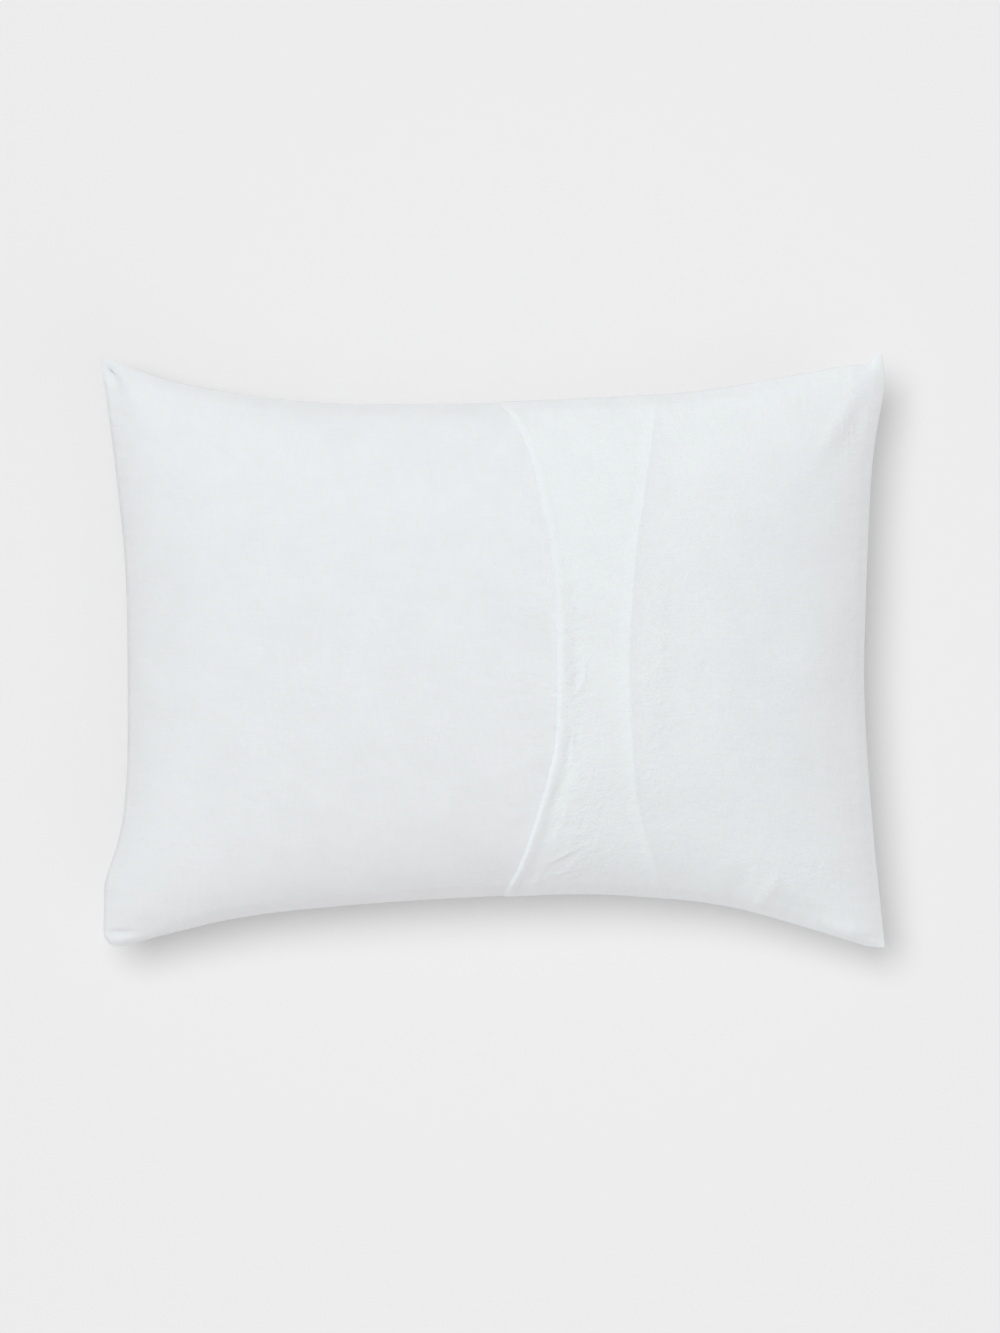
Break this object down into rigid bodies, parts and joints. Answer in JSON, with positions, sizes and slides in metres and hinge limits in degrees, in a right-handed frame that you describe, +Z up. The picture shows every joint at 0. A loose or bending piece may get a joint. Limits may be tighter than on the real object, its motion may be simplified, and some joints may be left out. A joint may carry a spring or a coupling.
{
  "type": "filled pillowcase",
  "caption": "White pillowcase with an envelope back, filled out by its pillow and lying with the overlapping flap upwards.",
  "frame": {"origin": "on the floor under the middle of the case", "axes": "+X along the long side towards the seam that carries the flap, +Y across the case, +Z up out of the envelope side"},
  "size_m": [0.795, 0.5992, 0.1952],
  "materials": {
    "front_cloth": "matt washed plain weave, white",
    "back_cloth": "matt washed plain weave, white",
    "flap_cloth": "matt washed plain weave, white"
  },
  "bodies": {
    "root": {"filled_front": "front_cloth", "back_panel": "back_cloth", "back_flap": "flap_cloth"}
  },
  "joints": []
}
